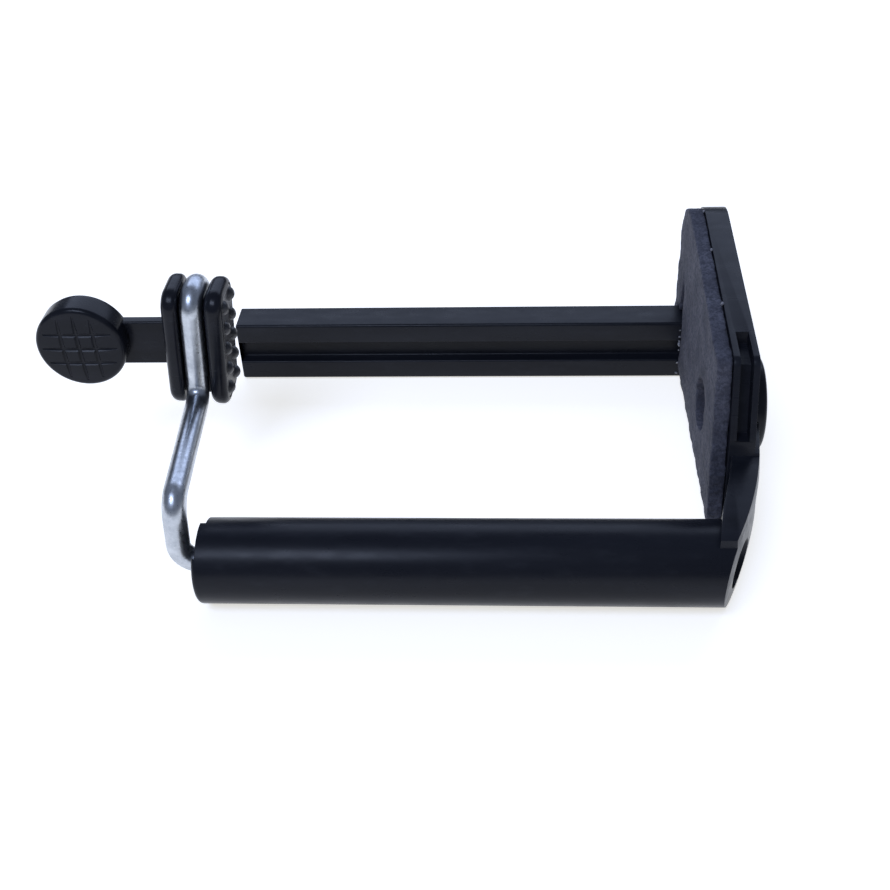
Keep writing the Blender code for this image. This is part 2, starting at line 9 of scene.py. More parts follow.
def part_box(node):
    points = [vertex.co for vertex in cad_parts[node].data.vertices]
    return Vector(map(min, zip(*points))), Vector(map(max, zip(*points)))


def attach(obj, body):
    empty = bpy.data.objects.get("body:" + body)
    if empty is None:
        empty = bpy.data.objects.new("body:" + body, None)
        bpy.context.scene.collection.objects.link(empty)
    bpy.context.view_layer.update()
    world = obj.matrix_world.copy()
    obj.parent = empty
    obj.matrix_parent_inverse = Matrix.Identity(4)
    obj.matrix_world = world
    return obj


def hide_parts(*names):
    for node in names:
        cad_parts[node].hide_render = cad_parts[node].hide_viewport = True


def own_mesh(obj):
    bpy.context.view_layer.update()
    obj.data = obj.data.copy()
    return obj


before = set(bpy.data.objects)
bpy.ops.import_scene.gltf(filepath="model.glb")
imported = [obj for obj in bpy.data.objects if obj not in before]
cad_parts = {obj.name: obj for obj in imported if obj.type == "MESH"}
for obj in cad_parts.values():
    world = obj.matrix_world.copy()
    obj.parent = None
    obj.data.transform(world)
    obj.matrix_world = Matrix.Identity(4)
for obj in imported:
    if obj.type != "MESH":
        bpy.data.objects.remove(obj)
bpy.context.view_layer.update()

# The tube's axis is the reference line, and X = 0 is just before its left end, as in the CAD
TUBE_LOW, TUBE_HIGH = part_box("spring_tube")
TUBE_RADIUS = (TUBE_HIGH.z - TUBE_LOW.z) / 2
TUBE_START = 0.0008
ORIGIN = Vector((TUBE_LOW.x - TUBE_START, TUBE_LOW.y + TUBE_RADIUS, TUBE_LOW.z + TUBE_RADIUS))
REST_Z = -TUBE_RADIUS
CUT = 0.002
OVERLAP = 0.0005

# Frame
TUBE_BORE = 0.0031
TUBE_MOUTH = 0.0021
TUBE_LIP = 0.0026
TUBE_ROUND = 0.0006
# The wire's clearance at the left end: (directions across the step, X of its floor)
MOUTH_STEPS = (
    (((-1.0, 1.0), (1.0, 1.0)), 0.0013),
    (((0.2, 1.0), (1.0, 1.0), (1.0, 0.35)), 0.0020),
)
BAR_Y = 0.050
BAR_WIDTH = 0.0054
BAR_HEIGHT = 0.0098
BAR_START = -0.0032
BAR_EDGE = 0.0004
GROOVE_WIDTH = 0.0034
GROOVE_DEPTH = 0.0018
FAR_Y = 0.0555
FOAM_FACE = 0.0648
FOAM_MARGIN = 0.0022  # from the surface that the frame lies on to the foam's lower edge
PLATE_FACE = 0.0670
PLATE_BACK = 0.0702
PLATE_TOP = 0.0230
PLATE_NEAR_TOP = 0.0190
PLATE_NEAR_Y = 0.0160
# Adhesive that has squeezed out: (distance from the bar's side, Z) at its foot, and Y along the plate's top
GLUE_AT_BAR = (
    (0.0000, 0.0020),
    (-0.0001, 0.0031),
    (0.0003, -0.0002),
    (0.0001, -0.0027),
    (0.0002, 0.0008),
    (0.0000, 0.0012),
    (0.0000, -0.0046),
)
GLUE_ON_TOP = (0.0487, 0.0392, 0.0272)
PLATE_EDGE = 0.00035
SKIN = 0.0008
HOLE = Vector((0.0249, 0.0060))
HOLE_RADIUS = 0.0036
BLOCK_TOP = 0.0074
BOSS_RADIUS = 0.0064
BOSS_EDGE = 0.0006
# The near edge's hollow: (Y, Z) corners, from the neck's top round the plate's upper corner
EDGE_POCKET = (
    (0.0100, 0.0090),
    (0.0144, 0.0090),
    (0.0174, 0.0174),
    (0.0215, 0.0178),
    (0.0215, 0.0220),
    (0.0100, 0.0220),
)
BOSS_BACK = 0.0728
INSERT_FLATS = 0.0084
INSERT_LENGTH = 0.0048
THREAD_ROOT = 0.0032
THREAD_CREST = 0.0027
THREAD_PITCH = 0.00127
THREAD_STEPS = 72
THREAD_ROWS = 64
END_X = 0.0724
END_Y = 0.0320
END_SWEEP = 4.0
CURL_Y = 0.0140
END_CURL = 6.0
POCKET_Y = (0.0066, 0.0132)
POCKET_Z = (-0.0034, 0.0046)
POCKET_DEPTH = 0.0016
POCKET_EDGE = 0.0012
DOME_RISE = 0.0005
DOME_Z = 0.0010
DOME_REACH = 0.0064

# Wire and spring
WIRE_RADIUS = 0.0015
ROD_END = 0.0610
WIRE_BEND = 0.0025
WIRE_TOP_BEND = 0.0022  # over the jaw's core
SPRING_START = 0.0078
SPRING_END = 0.0570
SPRING_WIRE = 0.0007
SPRING_RADIUS = 0.0024
SPRING_TURNS = 17
SPRING_FLAT_TURN = 1.15  # advance of each closed end turn, in wire thicknesses
SPRING_POINTS = 24  # points in each turn

# Movable jaw, in its own frame
JAW_Y = 0.0246
JAW_BOTTOM = Vector((-0.0026, JAW_Y, 0.0082))
JAW_LEAN = math.radians(4.7)
JAW_HEIGHT = 0.0174
JAW_HALF_WIDTH = 0.0040
JAW_CORNER = 0.0026
GROOVE_HALF = 0.0017
LEFT_FLANGE = 0.0021
RIGHT_FLANGE = 0.0024
CORE_HALF_WIDTH = 0.0009
CORE_BOTTOM = 0.0008
CORE_TOP = 0.0146
WIRE_IN_JAW = CORE_HALF_WIDTH + 0.0003 + WIRE_RADIUS
WIRE_ENTRY = 0.0016
WIRE_TAIL = 0.0040
PAD_BASE = 0.0005
PAD_INSET = 0.0011
TOOTH_RADIUS = 0.0010
TOOTH_SUNK = 0.0003
TOOTH_PITCH = 0.0031
TOOTH_ROWS = 5
TOOTH_MIDDLE = 0.0088
TOOTH_COLUMNS = (-0.0018, 0.0018)
TAB_ROOT = Vector((-0.0061, JAW_Y, 0.0159))
ARM_HEIGHT = 0.0066
ARM_THICKNESS = 0.0017
DISC_RADIUS = 0.0060
DISC_THICKNESS = 0.0046
DISC_CENTRE = Vector((-0.0114, 0, 0.0009))
DISC_EDGE = 0.0007
DISC_STEP = 0.0002
DISC_DOME = 0.0003
DISC_GROOVE = 0.00024
DISC_GROOVE_HALF = 0.00034
DISC_GROOVE_PITCH = 0.0022
# The groove's rounded section: (share of its half width, share of its depth)
GROOVE_SHAPE = (
    (1.0, -0.2),
    (0.6, 0.45),
    (0.25, 0.9),
    (0.0, 1.0),
    (-0.25, 0.9),
    (-0.6, 0.45),
    (-1.0, -0.2),
)

ARC_STEPS = 10
ROUND_STEPS = 96


# ---------------------------------------------------------------- shapes

def new_object(name, mesh):
    obj = bpy.data.objects.new(name, mesh)
    bpy.context.scene.collection.objects.link(obj)
    return obj


def from_bmesh(name, shape):
    bmesh.ops.recalc_face_normals(shape, faces=shape.faces)
    mesh = bpy.data.meshes.new(name)
    shape.to_mesh(mesh)
    shape.free()
    return new_object(name, mesh)


def baked(obj):
    bpy.context.view_layer.update()
    mesh = bpy.data.meshes.new_from_object(obj.evaluated_get(bpy.context.evaluated_depsgraph_get()))
    obj.modifiers.clear()
    old = obj.data
    obj.data = mesh
    if old.users == 0 and hasattr(old, "vertices"):
        bpy.data.meshes.remove(old)
    return obj


def boolean(obj, other, operation="DIFFERENCE"):
    """Cuts or joins another object, which is used up."""
    modifier = obj.modifiers.new("boolean", "BOOLEAN")
    modifier.operation = operation
    modifier.solver = "EXACT"
    modifier.object = other
    baked(obj)
    bpy.data.objects.remove(other, do_unlink=True)
    return obj


def soften(obj, width, segments=3, angle=35):
    """Rounds the sharp edges that are left after the booleans."""
    modifier = obj.modifiers.new("edge", "BEVEL")
    modifier.width = width
    modifier.segments = segments
    modifier.limit_method = "ANGLE"
    modifier.angle_limit = math.radians(angle)
    modifier.harden_normals = False
    return baked(obj)


def smooth(obj, angle=40):
    obj.data.shade_smooth()
    obj.data.set_sharp_from_angle(angle=math.radians(angle))
    return obj


def rounded(corners, steps=ARC_STEPS):
    """The points of an outline from (u, v, radius) corners, with an arc at each round one."""
    points = []
    for index, (u, v, radius) in enumerate(corners):
        here = Vector((u, v))
        if not radius:
            points.append(here)
            continue
        before = (Vector(corners[index - 1][:2]) - here).normalized()
        after = (Vector(corners[(index + 1) % len(corners)][:2]) - here).normalized()
        half = before.angle(after) / 2
        centre = here + (before + after).normalized() * radius / math.sin(half)
        start = here + before * radius / math.tan(half) - centre
        end = here + after * radius / math.tan(half) - centre
        for step in range(steps + 1):
            points.append(centre + start.lerp(end, step / steps).normalized() * radius)
    return points


def inward(outline):
    """The inward offset direction at each point of an outline, scaled so that its sides move by 1."""
    area = sum(a.cross(b) for a, b in zip(outline, outline[1:] + outline[:1]))
    turn = 1 if area > 0 else -1
    result = []
    for index, here in enumerate(outline):
        before = (here - outline[index - 1]).normalized()
        after = (outline[(index + 1) % len(outline)] - here).normalized()
        normals = [Vector((-side.y, side.x)) * turn for side in (before, after)]
        mean = (normals[0] + normals[1]).normalized()
        result.append(mean / max(mean.dot(normals[0]), 0.4))
    return result


AXES = {
    "X": lambda u, v, w: (w, u, v),
    "Y": lambda u, v, w: (u, w, v),
    "Z": lambda u, v, w: (u, v, w),
}


def pillow(name, outline, low, high, edges=(0.0, 0.0), across="X", steps=5):
    """An outline made solid from low to high, with quarter-round edges at its two ends."""
    outline = [Vector(point) for point in outline]
    inner = inward(outline)
    levels = []
    for step in range(steps + 1):
        angle = math.pi / 2 * (1 - step / steps)
        levels.append((low + edges[0] * (1 - math.sin(angle)), edges[0] * (1 - math.cos(angle))))
    for step in range(steps + 1):
        angle = math.pi / 2 * step / steps
        levels.append((high - edges[1] * (1 - math.sin(angle)), edges[1] * (1 - math.cos(angle))))
    if not edges[0]:
        levels = levels[steps:]
    if not edges[1]:
        levels = levels[:-steps]
    shape = bmesh.new()
    rings = []
    for w, inset in levels:
        points = [point + way * inset for point, way in zip(outline, inner)]
        rings.append([shape.verts.new(AXES[across](point.x, point.y, w)) for point in points])
    for lower, upper in zip(rings, rings[1:]):
        for index in range(len(outline)):
            after = (index + 1) % len(outline)
            shape.faces.new((lower[index], lower[after], upper[after], upper[index]))
    shape.faces.new(rings[0])
    shape.faces.new(rings[-1])
    return from_bmesh(name, shape)


def lathe(name, profile, steps=ROUND_STEPS, centre=(0, 0)):
    """A closed (x, radius) profile turned round a line along X."""
    shape = bmesh.new()
    rings = []
    for step in range(steps):
        angle = math.tau * step / steps
        y, z = math.cos(angle), math.sin(angle)
        rings.append([shape.verts.new((x, centre[0] + r * y, centre[1] + r * z)) for x, r in profile])
    for one, other in zip(rings, rings[1:] + rings[:1]):
        for index in range(len(profile)):
            after = (index + 1) % len(profile)
            shape.faces.new((one[index], one[after], other[after], other[index]))
    bmesh.ops.remove_doubles(shape, verts=shape.verts, dist=1e-7)
    bmesh.ops.dissolve_degenerate(shape, edges=shape.edges, dist=1e-7)
    return from_bmesh(name, shape)


def rod(name, radius, low, high, centre=(0, 0), steps=ROUND_STEPS, start=0.0):
    """A plain cylinder along X."""
    outline = []
    for step in range(steps):
        angle = start + math.tau * step / steps
        outline.append((centre[0] + radius * math.cos(angle), centre[1] + radius * math.sin(angle)))
    return pillow(name, outline, low, high)


def block(low, high):
    outline = [(low[0], low[1]), (high[0], low[1]), (high[0], high[1]), (low[0], high[1])]
    return pillow("block", outline, low[2], high[2], across="Z")


def arc_profile(centre, radius, start, end, steps=ARC_STEPS):
    points = []
    for step in range(steps + 1):
        angle = math.radians(start + (end - start) * step / steps)
        points.append((centre[0] + radius * math.cos(angle), centre[1] + radius * math.sin(angle)))
    return points


def placed(obj, body, look, slot, *nodes):
    """Puts a finished piece in the row frame, on its body, in place of its CAD nodes."""
    obj.data.transform(Matrix.Translation(ORIGIN))
    obj.data.materials.clear()
    obj.data.materials.append(look)
    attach(obj, body)
    if nodes:
        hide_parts(*nodes)
    return obj


# ---------------------------------------------------------------- materials

class Nodes:
    """A short way to write a material's nodes."""

    def __init__(self, name):
        self.material = bpy.data.materials.new(name)
        self.material.use_nodes = True
        self.tree = self.material.node_tree
        self.shader = self.tree.nodes["Principled BSDF"]
        self.place = self.tree.nodes.new("ShaderNodeTexCoord").outputs["Object"]

    def link(self, source, target):
        self.tree.links.new(source, target)

    def stretched(self, scale, turn=(0, 0, 0)):
        """Object coordinates in millimetres, scaled along each axis."""
        node = self.tree.nodes.new("ShaderNodeMapping")
        node.inputs["Scale"].default_value = [value * 1000 for value in scale]
        node.inputs["Rotation"].default_value = turn
        self.link(self.place, node.inputs["Vector"])
        return node.outputs["Vector"]

    def noise(self, scale, detail=4.0, roughness=0.55, vector=None):
        node = self.tree.nodes.new("ShaderNodeTexNoise")
        node.inputs["Scale"].default_value = scale
        node.inputs["Detail"].default_value = detail
        node.inputs["Roughness"].default_value = roughness
        self.link(vector or self.stretched((1, 1, 1)), node.inputs["Vector"])
        return node.outputs["Fac"]

    def voronoi(self, scale, feature="F1", vector=None):
        node = self.tree.nodes.new("ShaderNodeTexVoronoi")
        node.feature = feature
        node.inputs["Scale"].default_value = scale
        self.link(vector or self.stretched((1, 1, 1)), node.inputs["Vector"])
        return node.outputs["Distance"]

    def ramp(self, factor, stops):
        node = self.tree.nodes.new("ShaderNodeValToRGB")
        ramp = node.color_ramp
        while len(ramp.elements) < len(stops):
            ramp.elements.new(0.5)
        for element, (position, colour) in zip(ramp.elements, stops):
            element.position = position
            element.color = (*colour, 1.0) if isinstance(colour, tuple) else (colour, colour, colour, 1.0)
        self.link(factor, node.inputs["Fac"])
        return node.outputs["Color"]

    def mixed(self, factor, first, second, blend="MIX"):
        node = self.tree.nodes.new("ShaderNodeMix")
        node.data_type = "RGBA"
        node.blend_type = blend
        sockets = [node.inputs[0], node.inputs[6], node.inputs[7]]
        for socket, value in zip(sockets, (factor, first, second)):
            if isinstance(value, bpy.types.NodeSocket):
                self.link(value, socket)
            elif isinstance(value, tuple):
                socket.default_value = (*value, 1.0)
            else:
                socket.default_value = value
        return node.outputs[2]

    def bump(self, height, strength, distance, under=None):
        node = self.tree.nodes.new("ShaderNodeBump")
        node.inputs["Strength"].default_value = strength
        node.inputs["Distance"].default_value = distance
        self.link(height, node.inputs["Height"])
        if under:
            self.link(under, node.inputs["Normal"])
        return node.outputs["Normal"]

    def finish(self, colour=None, roughness=None, normal=None, **fixed):
        for name, value in fixed.items():
            self.shader.inputs[name.replace("_", " ")].default_value = value
        if colour:
            self.link(colour, self.shader.inputs["Base Color"])
        if roughness:
            self.link(roughness, self.shader.inputs["Roughness"])
        if normal:
            self.link(normal, self.shader.inputs["Normal"])
        return self.material


PLASTIC_SHEEN = 0.15


def moulded_plastic(name, dark, light, rough, grain=0.25, streaks=(0.08, 1.0, 1.0)):
    """Black moulding: faint flow marks along the part, a fine grain and a hazy sheen."""
    made = Nodes(name)
    flow = made.noise(0.35, 3.0, vector=made.stretched(streaks))
    fine = made.noise(9.0, 5.0, 0.6)
    haze = made.noise(0.7, 3.0, 0.5, made.stretched((0.4, 1.0, 1.0)))
    colour = made.mixed(made.ramp(flow, [(0.3, 0.0), (0.7, 1.0)]), dark, light)
    colour = made.mixed(made.ramp(haze, [(0.55, 0.0), (0.85, 0.12)]), colour, (0.05, 0.054, 0.066))
    low, high = rough
    roughness = made.ramp(haze, [(0.30, low), (0.75, high)])
    bumped = made.bump(fine, grain, 0.00001)
    return made.finish(colour, roughness, bumped, IOR=1.5, Specular_IOR_Level=PLASTIC_SHEEN)


def foam_look():
    """Closed-cell foam: a skin of small cells, with larger open pores here and there."""
    made = Nodes("closed_cell_foam")
    cells = made.voronoi(3.2)
    pores = made.voronoi(1.1)
    cloud = made.noise(0.22, 4.0)
    mottle = made.noise(2.2, 3.0, 0.65)
    fine = made.noise(6.0, 5.0, 0.7)
    lighter = made.ramp(cloud, [(0.35, 0.0), (0.65, 1.0)])
    colour = made.mixed(lighter, (0.052, 0.054, 0.074), (0.102, 0.105, 0.136))
    colour = made.mixed(made.ramp(cells, [(0.0, 0.55), (0.35, 0.0)]), colour, (0.045, 0.047, 0.062))
    colour = made.mixed(made.ramp(mottle, [(0.42, 0.0), (0.58, 0.75)]), colour, (0.034, 0.036, 0.050))
    colour = made.mixed(made.ramp(pores, [(0.0, 0.8), (0.16, 0.0)]), colour, (0.020, 0.021, 0.030))
    colour = made.mixed(made.ramp(fine, [(0.55, 0.0), (0.75, 0.5)]), colour, (0.17, 0.17, 0.21))
    roughness = made.ramp(fine, [(0.3, 0.82), (0.7, 0.97)])
    bumped = made.bump(cells, 0.5, 0.00012)
    bumped = made.bump(pores, 0.5, 0.0003, bumped)
    bumped = made.bump(fine, 0.4, 0.00008, bumped)
    return made.finish(colour, roughness, bumped, IOR=1.4)


def zinc_wire():
    """Bright zinc on drawn wire: cloudy patches and darker spots."""
    made = Nodes("zinc_wire")
    patches = made.noise(0.45, 4.0, 0.6)
    spots = made.noise(2.6, 5.0, 0.65)
    brighter = made.ramp(patches, [(0.35, 0.0), (0.65, 1.0)])
    colour = made.mixed(brighter, (0.39, 0.42, 0.46), (0.57, 0.60, 0.64))
    colour = made.mixed(made.ramp(spots, [(0.58, 0.0), (0.74, 0.6)]), colour, (0.30, 0.32, 0.37))
    roughness = made.ramp(spots, [(0.3, 0.24), (0.7, 0.42)])
    bumped = made.bump(patches, 0.10, 0.0001)
    return made.finish(colour, roughness, bumped, Metallic=1.0)


def turned_metal(name, dark, light, rough):
    made = Nodes(name)
    rings = made.noise(5.0, 3.0, 0.6, made.stretched((2.5, 0.4, 0.4)))
    stain = made.noise(0.8, 4.0)
    colour = made.mixed(made.ramp(stain, [(0.35, 0.0), (0.7, 1.0)]), dark, light)
    low, high = rough
    roughness = made.ramp(rings, [(0.3, low), (0.7, high)])
    return made.finish(colour, roughness, made.bump(rings, 0.25, 0.00004), Metallic=1.0)


def soft_rubber():
    made = Nodes("pad_rubber")
    fine = made.noise(7.0, 5.0, 0.6)
    cloud = made.noise(0.9, 3.0)
    dusty = made.ramp(cloud, [(0.35, 0.0), (0.65, 1.0)])
    colour = made.mixed(dusty, (0.011, 0.011, 0.014), (0.026, 0.027, 0.033))
    roughness = made.ramp(fine, [(0.3, 0.28), (0.7, 0.46)])
    return made.finish(colour, roughness, made.bump(fine, 0.3, 0.00003), IOR=1.5)


def natural_nylon():
    made = Nodes("natural_nylon")
    cloud = made.noise(0.8, 4.0)
    colour = made.mixed(made.ramp(cloud, [(0.3, 0.0), (0.7, 1.0)]), (0.48, 0.46, 0.41), (0.60, 0.59, 0.55))
    roughness = made.ramp(cloud, [(0.3, 0.4), (0.7, 0.6)])
    return made.finish(colour, roughness, made.bump(cloud, 0.2, 0.0001))


def foam_film():
    """Double-sided film: dark through the clear sheet, with hazy patches."""
    made = Nodes("adhesive_film")
    cloud = made.noise(0.8, 4.0)
    hazy = made.ramp(cloud, [(0.35, 0.0), (0.7, 1.0)])
    colour = made.mixed(hazy, (0.020, 0.021, 0.027), (0.060, 0.062, 0.075))
    roughness = made.ramp(cloud, [(0.3, 0.3), (0.7, 0.5)])
    return made.finish(colour, roughness, made.bump(cloud, 0.2, 0.0001))


def dried_glue():
    made = Nodes("dried_glue")
    cloud = made.noise(3.0, 4.0)
    colour = made.mixed(made.ramp(cloud, [(0.3, 0.0), (0.7, 1.0)]), (0.13, 0.13, 0.14), (0.24, 0.24, 0.27))
    roughness = made.ramp(cloud, [(0.3, 0.15), (0.7, 0.35)])
    return made.finish(colour, roughness, made.bump(cloud, 0.3, 0.0001))


# ---------------------------------------------------------------- frame

def end_surface(y, z):
    """X of the frame's outer end, a shallow dome swept from the tube to the bar."""
    arc = END_X - END_SWEEP * (y - END_Y) ** 2 - END_CURL * max(0, CURL_Y - y) ** 2
    return arc + DOME_RISE * (1 - ((z - DOME_Z) / DOME_REACH) ** 2)


def end_cutter(top):
    """Everything past the outer end, up to a height."""
    rows, columns = 14, 40
    low_z, low_y = REST_Z - CUT, -TUBE_RADIUS - CUT
    past = BOSS_BACK + 2 * CUT
    shape = bmesh.new()
    near, far = [], []
    for row in range(rows + 1):
        z = low_z + (top - low_z) * row / rows
        ys = [low_y + (FAR_Y + CUT - low_y) * column / columns for column in range(columns + 1)]
        near.append([shape.verts.new((end_surface(y, z), y, z)) for y in ys])
        far.append([shape.verts.new((past, y, z)) for y in ys])
    for grid in (near, far):
        for lower, upper in zip(grid, grid[1:]):
            for index in range(columns):
                shape.faces.new((lower[index], lower[index + 1], upper[index + 1], upper[index]))
    rims = [
        (near[0], far[0]),
        (near[-1], far[-1]),
        ([row[0] for row in near], [row[0] for row in far]),
        ([row[-1] for row in near], [row[-1] for row in far]),
    ]
    for inner, outer in rims:
        for index in range(len(inner) - 1):
            shape.faces.new((inner[index], inner[index + 1], outer[index + 1], outer[index]))
    return from_bmesh("end", shape)


def tube_shell():
    radius = TUBE_RADIUS
    profile = [(TUBE_START + 0.0003, TUBE_MOUTH), (TUBE_START, TUBE_MOUTH + 0.0003)]
    profile += arc_profile((TUBE_START + TUBE_ROUND, radius - TUBE_ROUND), TUBE_ROUND, 180, 90)
    profile += [(BOSS_BACK, radius), (BOSS_BACK, TUBE_BORE), (TUBE_LIP, TUBE_BORE), (TUBE_LIP, TUBE_MOUTH)]
    tube = lathe("tube_shell", profile)
    boolean(tube, end_cutter(TUBE_RADIUS + CUT))
    reach = TUBE_RADIUS + CUT
    for spread, depth in MOUTH_STEPS:
        step = [(0, 0)] + [(y * reach, z * reach) for y, z in spread]
        boolean(tube, pillow("step", step, -CUT, depth))
    cleaned(tube)
    soften(tube, 0.00025)
    return smooth(tube)


def plate_outline():
    return rounded([
        (0.0100, REST_Z, 0.0005),
        (FAR_Y, REST_Z, 0.0030),
        (FAR_Y, PLATE_TOP, 0.0070),
        (PLATE_NEAR_Y, PLATE_NEAR_TOP, 0.0015),
        (0.0124, 0.0090, 0.0080),
    ])


def neck():
    """The wall that bends round from the plate to the tube, with a shelf for its top."""
    low = REST_Z + 0.0002
    side = [(-0.0025, 0.0), (0.0060, low), (0.0128, low), (0.0128, 0.0071), (-0.0025, 0.0060)]
    made = pillow("neck", side, 0.0620, BOSS_BACK)
    inner = [(0.0640, -0.0040), (0.0652, 0.0030), (0.0672, 0.0105), (PLATE_FACE + OVERLAP, 0.0140)]
    outer = [(0.0760, 0.0140), (0.0760, -0.0040)]
    plan = pillow("plan", inner + outer, REST_Z - CUT, BLOCK_TOP + CUT, across="Z")
    return boolean(made, plan, "INTERSECT")


def cleaned(obj, distance=0.00004):
    """Merges the very short edges that booleans leave."""
    shape = bmesh.new()
    shape.from_mesh(obj.data)
    bmesh.ops.remove_doubles(shape, verts=shape.verts, dist=distance)
    bmesh.ops.dissolve_degenerate(shape, edges=shape.edges, dist=distance / 4)
    shape.to_mesh(obj.data)
    shape.free()
    return obj


def plate_shell():
    plate = pillow("plate_shell", plate_outline(), PLATE_FACE, BOSS_BACK)
    boolean(plate, neck(), "UNION")
    boolean(plate, end_cutter(BLOCK_TOP + 2 * CUT))
    boolean(plate, block((PLATE_BACK, -CUT, BLOCK_TOP), (BOSS_BACK + CUT, FAR_Y + CUT, 0.03)))
    # A pocket in the outer end, between the tube and the boss
    near, far = POCKET_Y
    low, high = POCKET_Z
    core = [(near, low), (far, low), (far, high), (near, high)]
    core = rounded([(y, z, POCKET_EDGE) for y, z in core])
    floor = end_surface(core[0].x, DOME_Z) - POCKET_DEPTH
    boolean(plate, pillow("core", core, floor, BOSS_BACK + CUT))
    # The near edge is hollow between the plate's two skins, round its upper corner
    boolean(plate, pillow("pocket", EDGE_POCKET, PLATE_FACE + SKIN, PLATE_BACK - SKIN))
    boolean(plate, rod("tube", TUBE_BORE + SKIN, 0, BOSS_BACK + CUT))
    cleaned(plate)
    soften(plate, PLATE_EDGE, 3, 30)
    profile = [(PLATE_FACE + OVERLAP, 0.0), (PLATE_FACE + OVERLAP, BOSS_RADIUS)]
    profile += arc_profile((BOSS_BACK - BOSS_EDGE, BOSS_RADIUS - BOSS_EDGE), BOSS_EDGE, 90, 0, 6)
    profile.append((BOSS_BACK, 0.0))
    boolean(plate, lathe("boss", profile, ROUND_STEPS, HOLE), "UNION")
    socket = (INSERT_FLATS / 2 + 0.0001) / math.cos(math.pi / 6)
    cutter = rod("socket", socket, BOSS_BACK - INSERT_LENGTH - 0.0003, BOSS_BACK + CUT, HOLE, 6)
    boolean(cutter, rod("hole", HOLE_RADIUS, PLATE_FACE - CUT, BOSS_BACK, HOLE), "UNION")
    boolean(plate, cutter)
    return smooth(plate, 35)


def bar_rail():
    low, high = REST_Z, REST_Z + BAR_HEIGHT
    near, far = BAR_Y - BAR_WIDTH / 2, BAR_Y + BAR_WIDTH / 2
    middle = (low + high) / 2
    groove_low, groove_high = middle - GROOVE_WIDTH / 2, middle + GROOVE_WIDTH / 2
    floor = near + GROOVE_DEPTH
    lip = BAR_EDGE * 0.7
    outline = rounded([
        (near, low, BAR_EDGE),
        (far, low, BAR_EDGE),
        (far, high, BAR_EDGE),
        (near, high, BAR_EDGE),
        (near, groove_high, lip),
        (floor, groove_high, lip),
        (floor, groove_low, lip),
        (near, groove_low, lip),
    ], 5)
    return smooth(pillow("bar_rail", outline, BAR_START, PLATE_FACE + OVERLAP, (0.0003, 0)))


def thread_radius(x, share):
    """The hole's radius at X and at a share of one turn: a V thread that fades out at both ends."""
    from_end = min(x - (BOSS_BACK - INSERT_LENGTH), BOSS_BACK - x)
    fade = min(1.0, from_end / (THREAD_PITCH * 0.6))
    wave = abs(2 * ((x / THREAD_PITCH - share) % 1.0) - 1)
    return THREAD_ROOT - (THREAD_ROOT - THREAD_CREST) * min(1.0, wave * 1.2) * fade


def threaded_insert():
    """A hexagonal brass insert with a real thread in its hole."""
    start = BOSS_BACK - INSERT_LENGTH
    shape = bmesh.new()
    shares = [step / THREAD_STEPS for step in range(THREAD_STEPS)]

    def ring(x, radius_at):
        made = []
        for share in shares:
            angle, radius = math.tau * share, radius_at(share)
            place = (x, HOLE.x + radius * math.cos(angle), HOLE.y + radius * math.sin(angle))
            made.append(shape.verts.new(place))
        return made

    def flat(share):
        return INSERT_FLATS / 2 / math.cos(math.tau * share % (math.pi / 3) - math.pi / 6)

    rings = [ring(start, flat)]
    for row in range(THREAD_ROWS + 1):
        x = start + INSERT_LENGTH * row / THREAD_ROWS
        rings.append(ring(x, lambda share: thread_radius(x, share)))
    rings.append(ring(BOSS_BACK, flat))
    for one, other in zip(rings, rings[1:] + rings[:1]):
        for step in range(THREAD_STEPS):
            after = (step + 1) % THREAD_STEPS
            shape.faces.new((one[step], one[after], other[after], other[step]))
    return smooth(from_bmesh("threaded_insert", shape), 30)


# ---------------------------------------------------------------- foam

def foam_sheet():
    """Die-cut foam with soft, slightly uneven edges and a pointed slit round the bar."""
    near, far = BAR_Y - BAR_WIDTH / 2 - 0.0003, BAR_Y + BAR_WIDTH / 2 + 0.0003
    bar_top = REST_Z + BAR_HEIGHT + 0.0003
    low = REST_Z + FOAM_MARGIN
    outline = rounded([
        (0.0105, low, 0.0006),
        (near, low, 0),
        (near, bar_top, 0),
        (BAR_Y - 0.0012, 0.0135, 0),
        (BAR_Y + 0.0004, bar_top, 0),
        (far, bar_top, 0),
        (far, low, 0),
        (FAR_Y, low, 0.0010),
        (FAR_Y, 0.0228, 0.0068),
        (0.0162, 0.0186, 0.0015),
    ])
    foam = pillow("foam_sheet", outline, FOAM_FACE + 0.0001, PLATE_FACE)
    boolean(foam, rod("hole", HOLE_RADIUS, FOAM_FACE - CUT, PLATE_FACE + CUT, HOLE))
    remesh = foam.modifiers.new("cells", "REMESH")
    remesh.mode = "VOXEL"
    remesh.voxel_size = 0.00028
    baked(foam)
    relax = foam.modifiers.new("relax", "SMOOTH")
    relax.factor = 0.5
    relax.iterations = 4
    baked(foam)
    for vertex in foam.data.vertices:
        place = vertex.co * 1000
        wave = noise.noise(place * 0.35) * 0.00014 + noise.noise(place * 1.1) * 0.00008
        grain = noise.noise(place * 4.0) * 0.00002
        vertex.co += vertex.normal * (wave + grain - 0.00005)
    foam.data.shade_smooth()
    return foam


